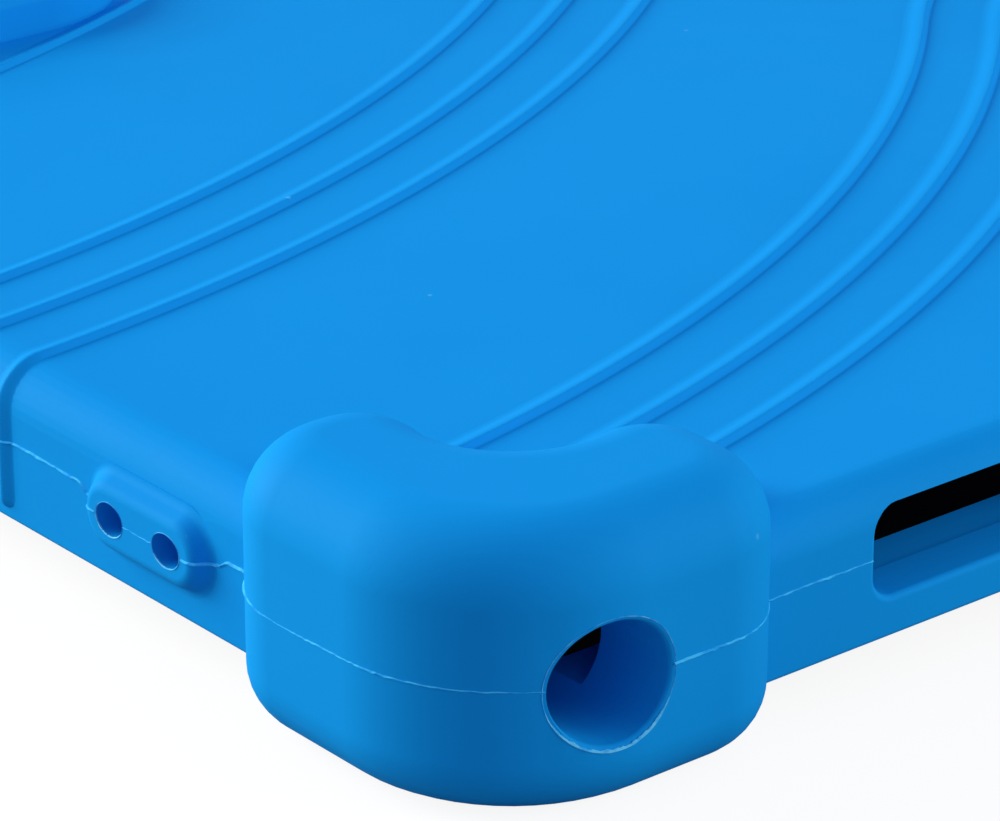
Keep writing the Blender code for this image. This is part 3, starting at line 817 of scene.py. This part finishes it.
# Hole flash. A thin torn lip of the same rubber round the headphone hole and the lanyard holes, left where
# the pins met the mould. It hangs a little into the hole, most of all along the lower side.
# The lip's rubber is paler than the body: partly thin torn rubber and dust, partly a painted highlight,
# broadest along the lower rim.
TORN_PALE_AND_HIGHLIGHT = (0.1500, 0.6200, 1.0000, 1.0)
TORN_DEEP = (0.0120, 0.3500, 0.8900, 1.0)
RIM_FLASH_STEPS = 260
RIM_FLASH_WIDTH = 0.00014
RIM_FLASH_PROUD = 0.00006
RIM_FLASH_ROOT = 0.00025
TORN_FROM = 0.45
JACK_TORN = 1.9
LANYARD_TORN = 0.6
TORN_CLOUD_SCALE = 1300.0
TIP_FINENESS = (300, 1700, 5200)
CREST_FINENESS = 1500
ROOT_FINENESS = 500

torn_lip_pale_and_highlight = silicone_material("torn_lip_pale_and_highlight", TORN_PALE_AND_HIGHLIGHT, TORN_DEEP, SILICONE_TORN, TORN_CLOUD_SCALE,
                                  FIN_SPECK_SCALE)


def rim_flash(name, centre, inward, size, torn):
    """Ragged lip round a hole: an oval laid on the skin, then grown into a fin that hangs into the hole."""
    work = bmesh.new()
    bmesh.ops.create_circle(work, cap_ends=False, segments=RIM_FLASH_STEPS, radius=0.5)
    bmesh.ops.scale(work, vec=(size[0], size[1], 1), verts=work.verts[:])
    turn = Vector((0, 0, 1)).rotation_difference(inward).to_matrix().to_4x4()
    bmesh.ops.transform(work, matrix=Matrix.Translation(centre) @ turn, verts=work.verts[:])
    for vert in work.verts:
        vert.co = skin_along(vert.co, inward)[0]

    def radial(place, outward):
        """Direction away from the hole's axis, along the skin."""
        away = place - centre
        return (away - outward * away.dot(outward)).normalized()

    def torn_share(place):
        """How torn the lip is at a place: not at all, up to wholly at the hole's lowest point, where its pale
        lip and painted highlight are widest.
        """
        low = 2 * (centre.z - place.z) / size[1]
        return min(1.0, max(0.0, (low - TORN_FROM) / (1 - TORN_FROM)) ** 0.5)

    def tip(place):
        """Inner edge of the lip: a little way into the hole all round, and ragged where it is torn."""
        broad, fine, finest = (raggedness(place, fineness) for fineness in TIP_FINENESS)
        rough = 0.55 + 0.45 * fine + 0.50 * finest
        even = 0.10 + 0.35 * broad
        return -RIM_FLASH_WIDTH * max(0.02, even + torn * torn_share(place) * rough), 0.2 * RIM_FLASH_PROUD

    def crest(place):
        """Outermost line of the lip."""
        rise = 0.7 + 0.4 * raggedness(place, CREST_FINENESS) + 0.5 * torn * torn_share(place)
        return 0.15 * RIM_FLASH_WIDTH, RIM_FLASH_PROUD * rise

    def outer_foot(place):
        """Where the lip runs out on the skin round the hole, wider where it is torn."""
        reach = 0.5 + 0.4 * raggedness(place, ROOT_FINENESS) + 0.5 * torn_share(place)
        return RIM_FLASH_WIDTH * reach, -FLASH_SUNK

    def root(place):
        """Bottom of the lip, sunk in the rubber."""
        return 0.3 * RIM_FLASH_WIDTH, -RIM_FLASH_ROOT

    grow_flash(work, name, torn_lip_pale_and_highlight, radial, [outer_foot, crest, tip, root])


mouth_size = JACK_HOLE_DIAMETER + 1.7 * JACK_MOUTH_ROUND
rim_flash("headphone_hole_flash", jack_mouth, Vector((-1, 0, 0)), (mouth_size, mouth_size), JACK_TORN)
for lanyard_x in lanyard_xs:
    rim_flash("lanyard_hole_flash", Vector((lanyard_x, -WALL_Y - ISLAND_PROUD, island_z)), Vector((0, 1, 0)),
              (LANYARD_HOLE_LENGTH, LANYARD_HOLE_HEIGHT), LANYARD_TORN)


# Studio. A plain pale floor, which the camera sees as white but for the case's own shadow. Other rays find
# it greyer, as the far side of a studio is. Under the case the floor is painted near black, a painted shade.
FLOOR_SEEN = (1.0, 1.0, 1.0, 1.0)
FLOOR_FELT = (0.35, 0.35, 0.35, 1.0)
# Painted shade: the floor's near-black colour under the case, which also dims the light bounced up into the
# case.
FLOOR_PAINTED_SHADE_UNDER_CASE = (0.02, 0.02, 0.025, 1.0)
FLOOR_SHARE_WHITE = 0.85
FLOOR_GLOW = 1.05
FLOOR_ROUGHNESS = 0.9
FLOOR_HALF_SIDE = 4.0
PAINTED_SHADE_INSET = 0.0110
PAINTED_SHADE_SOFTNESS = 0.0015


def maths(tree, operation, *values):
    """Math node fed with sockets or numbers."""
    node = tree.nodes.new("ShaderNodeMath")
    node.operation = operation
    for socket, value in zip(node.inputs, values):
        if isinstance(value, bpy.types.NodeSocket):
            tree.links.new(value, socket)
        else:
            socket.default_value = value
    return node.outputs[0]


work = bmesh.new()
bmesh.ops.create_grid(work, x_segments=1, y_segments=1, size=FLOOR_HALF_SIDE)
studio_floor = finish_mesh(work, "studio_floor")
floor_material = bpy.data.materials.new("pale_floor")
floor_material.use_nodes = True
tree = floor_material.node_tree
shader = tree.nodes["Principled BSDF"]
shader.inputs["Roughness"].default_value = FLOOR_ROUGHNESS
shader.inputs["Specular IOR Level"].default_value = 0.0
seen_by_camera = tree.nodes.new("ShaderNodeLightPath").outputs["Is Camera Ray"]
paleness = tree.nodes.new("ShaderNodeMix")
paleness.data_type = "RGBA"
tree.links.new(seen_by_camera, paleness.inputs["Factor"])
paleness.inputs["A"].default_value = FLOOR_FELT
paleness.inputs["B"].default_value = FLOOR_SEEN
place = tree.nodes.new("ShaderNodeSeparateXYZ")
tree.links.new(tree.nodes.new("ShaderNodeTexCoord").outputs["Object"], place.inputs["Vector"])
past_x = maths(tree, "SUBTRACT", maths(tree, "ABSOLUTE", place.outputs["X"]), WALL_X - PAINTED_SHADE_INSET)
past_y = maths(tree, "SUBTRACT", maths(tree, "ABSOLUTE", place.outputs["Y"]), WALL_Y - PAINTED_SHADE_INSET)
beyond_painted_shade = tree.nodes.new("ShaderNodeMapRange")
beyond_painted_shade.inputs["From Min"].default_value = -PAINTED_SHADE_SOFTNESS
beyond_painted_shade.inputs["From Max"].default_value = PAINTED_SHADE_SOFTNESS
tree.links.new(maths(tree, "MAXIMUM", past_x, past_y), beyond_painted_shade.inputs["Value"])
# Painted shade: under the case the floor turns near black and loses its white glow, whatever light falls
# there.
painted_shade_under_case = tree.nodes.new("ShaderNodeMix")
painted_shade_under_case.data_type = "RGBA"
tree.links.new(beyond_painted_shade.outputs["Result"], painted_shade_under_case.inputs["Factor"])
painted_shade_under_case.inputs["A"].default_value = FLOOR_PAINTED_SHADE_UNDER_CASE
tree.links.new(paleness.outputs["Result"], painted_shade_under_case.inputs["B"])
tree.links.new(painted_shade_under_case.outputs["Result"], shader.inputs["Base Color"])
glow = add_node(tree, "ShaderNodeEmission", Color=(1, 1, 1, 1), Strength=FLOOR_GLOW)
blend = tree.nodes.new("ShaderNodeMixShader")
white_share = maths(tree, "MULTIPLY", beyond_painted_shade.outputs["Result"], FLOOR_SHARE_WHITE)
tree.links.new(maths(tree, "MULTIPLY", seen_by_camera, white_share), blend.inputs["Fac"])
tree.links.new(shader.outputs["BSDF"], blend.inputs[1])
tree.links.new(glow.outputs["Emission"], blend.inputs[2])
tree.links.new(blend.outputs["Shader"], tree.nodes["Material Output"].inputs["Surface"])
studio_floor.data.materials.append(floor_material)


# Light. Two broad soft lamps, the brighter on the camera's left, and a dim even sky. The side that faces the
# camera gets little of either.
SKY_LEVEL = 0.375
LEFT_LEVEL = 1.48
RIGHT_LEVEL = 0.65
SKY_COLOUR = (0.88, 0.96, 1.28, 1.0)
LAMP_COLOUR = (1.02, 1.0, 0.80)
LAMP_DISTANCE = 1.3
LAMP_SIZE = 0.9
LEFT_LAMP_FROM = (-0.89, -0.48, 0.355)
RIGHT_LAMP_FROM = (0.706, 0.708, 0.364)
CASE_CORNER = Vector((WALL_X, -WALL_Y, RIM_Z))


def soft_lamp(name, direction, level, size):
    """Square lamp that shines on the case, at a level where 1 shows a facing colour as written."""
    light = bpy.data.lights.new(name, "AREA")
    light.shape = "SQUARE"
    light.size = size
    light.energy = level * (math.pi * LAMP_DISTANCE) ** 2
    light.color = LAMP_COLOUR
    lamp = bpy.data.objects.new(name, light)
    lamp.location = CASE_CORNER + Vector(direction).normalized() * LAMP_DISTANCE
    lamp.rotation_euler = Vector(direction).to_track_quat("Z", "Y").to_euler()
    bpy.context.scene.collection.objects.link(lamp)


soft_lamp("left_lamp", LEFT_LAMP_FROM, LEFT_LEVEL, LAMP_SIZE)
soft_lamp("right_lamp", RIGHT_LAMP_FROM, RIGHT_LEVEL, LAMP_SIZE)

world = bpy.data.worlds.new("studio_sky")
bpy.context.scene.world = world
world.use_nodes = True
tree = world.node_tree
sky = tree.nodes["Background"]
sky.inputs["Color"].default_value = SKY_COLOUR
sky.inputs["Strength"].default_value = SKY_LEVEL
backdrop = add_node(tree, "ShaderNodeBackground", Color=(1, 1, 1, 1), Strength=1.0)
ray = tree.nodes.new("ShaderNodeLightPath")
seen = maths(tree, "MAXIMUM", ray.outputs["Is Camera Ray"], ray.outputs["Is Transmission Ray"])
mixed = tree.nodes.new("ShaderNodeMixShader")
tree.links.new(seen, mixed.inputs["Fac"])
tree.links.new(sky.outputs["Background"], mixed.inputs[1])
tree.links.new(backdrop.outputs["Background"], mixed.inputs[2])
tree.links.new(mixed.outputs["Shader"], tree.nodes["World Output"].inputs["Surface"])


# Camera. A long lens close above one corner of the case, as in the photograph.
CAMERA_FROM_CORNER = Vector((0.20233, -0.16636, 0.14033))
CAMERA_TURN = (math.radians(66.7), 0.0, math.radians(50.4))
CAMERA_LENS = 162.0

camera_data = bpy.data.cameras.new("camera")
camera_data.sensor_width = 36.0
camera_data.lens = CAMERA_LENS
camera_data.clip_start = 0.01
camera_data.clip_end = 20.0
camera = bpy.data.objects.new("camera", camera_data)
camera.location = CASE_CORNER + CAMERA_FROM_CORNER
camera.rotation_euler = CAMERA_TURN
bpy.context.scene.collection.objects.link(camera)
bpy.context.scene.camera = camera
bpy.context.scene.view_settings.view_transform = "Standard"
